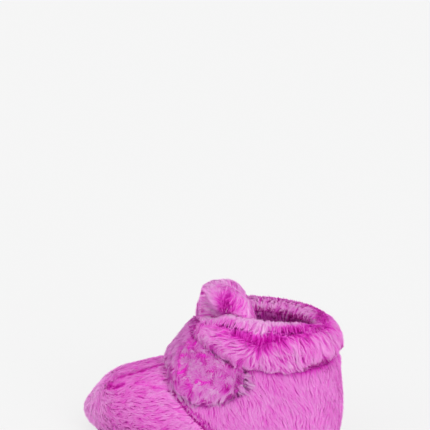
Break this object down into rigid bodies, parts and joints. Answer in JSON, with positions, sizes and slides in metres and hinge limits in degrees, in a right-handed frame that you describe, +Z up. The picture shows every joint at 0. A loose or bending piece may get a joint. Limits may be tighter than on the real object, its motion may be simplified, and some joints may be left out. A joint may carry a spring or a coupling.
{
  "type": "bootie slipper",
  "caption": "Soft plush ankle bootie for an infant's left foot, with a rolled cuff, padded tongue and wrap-over strap.",
  "frame": {"origin": "on the floor, under the middle of the shoe's length and width", "axes": "-X to the toe, +X to the heel, -Y to the outer side of the left foot, +Z up"},
  "size_m": [0.1301, 0.0602, 0.0834],
  "materials": {
    "plush": "deep combed plush pile",
    "lining": "short plush lining",
    "sole_fabric": "matt soft sole fabric"
  },
  "bodies": {
    "root": {"outsole": "sole_fabric", "insole": "lining", "upper": "plush", "cuff": "plush", "tongue": "plush", "strap": "plush"}
  },
  "joints": []
}
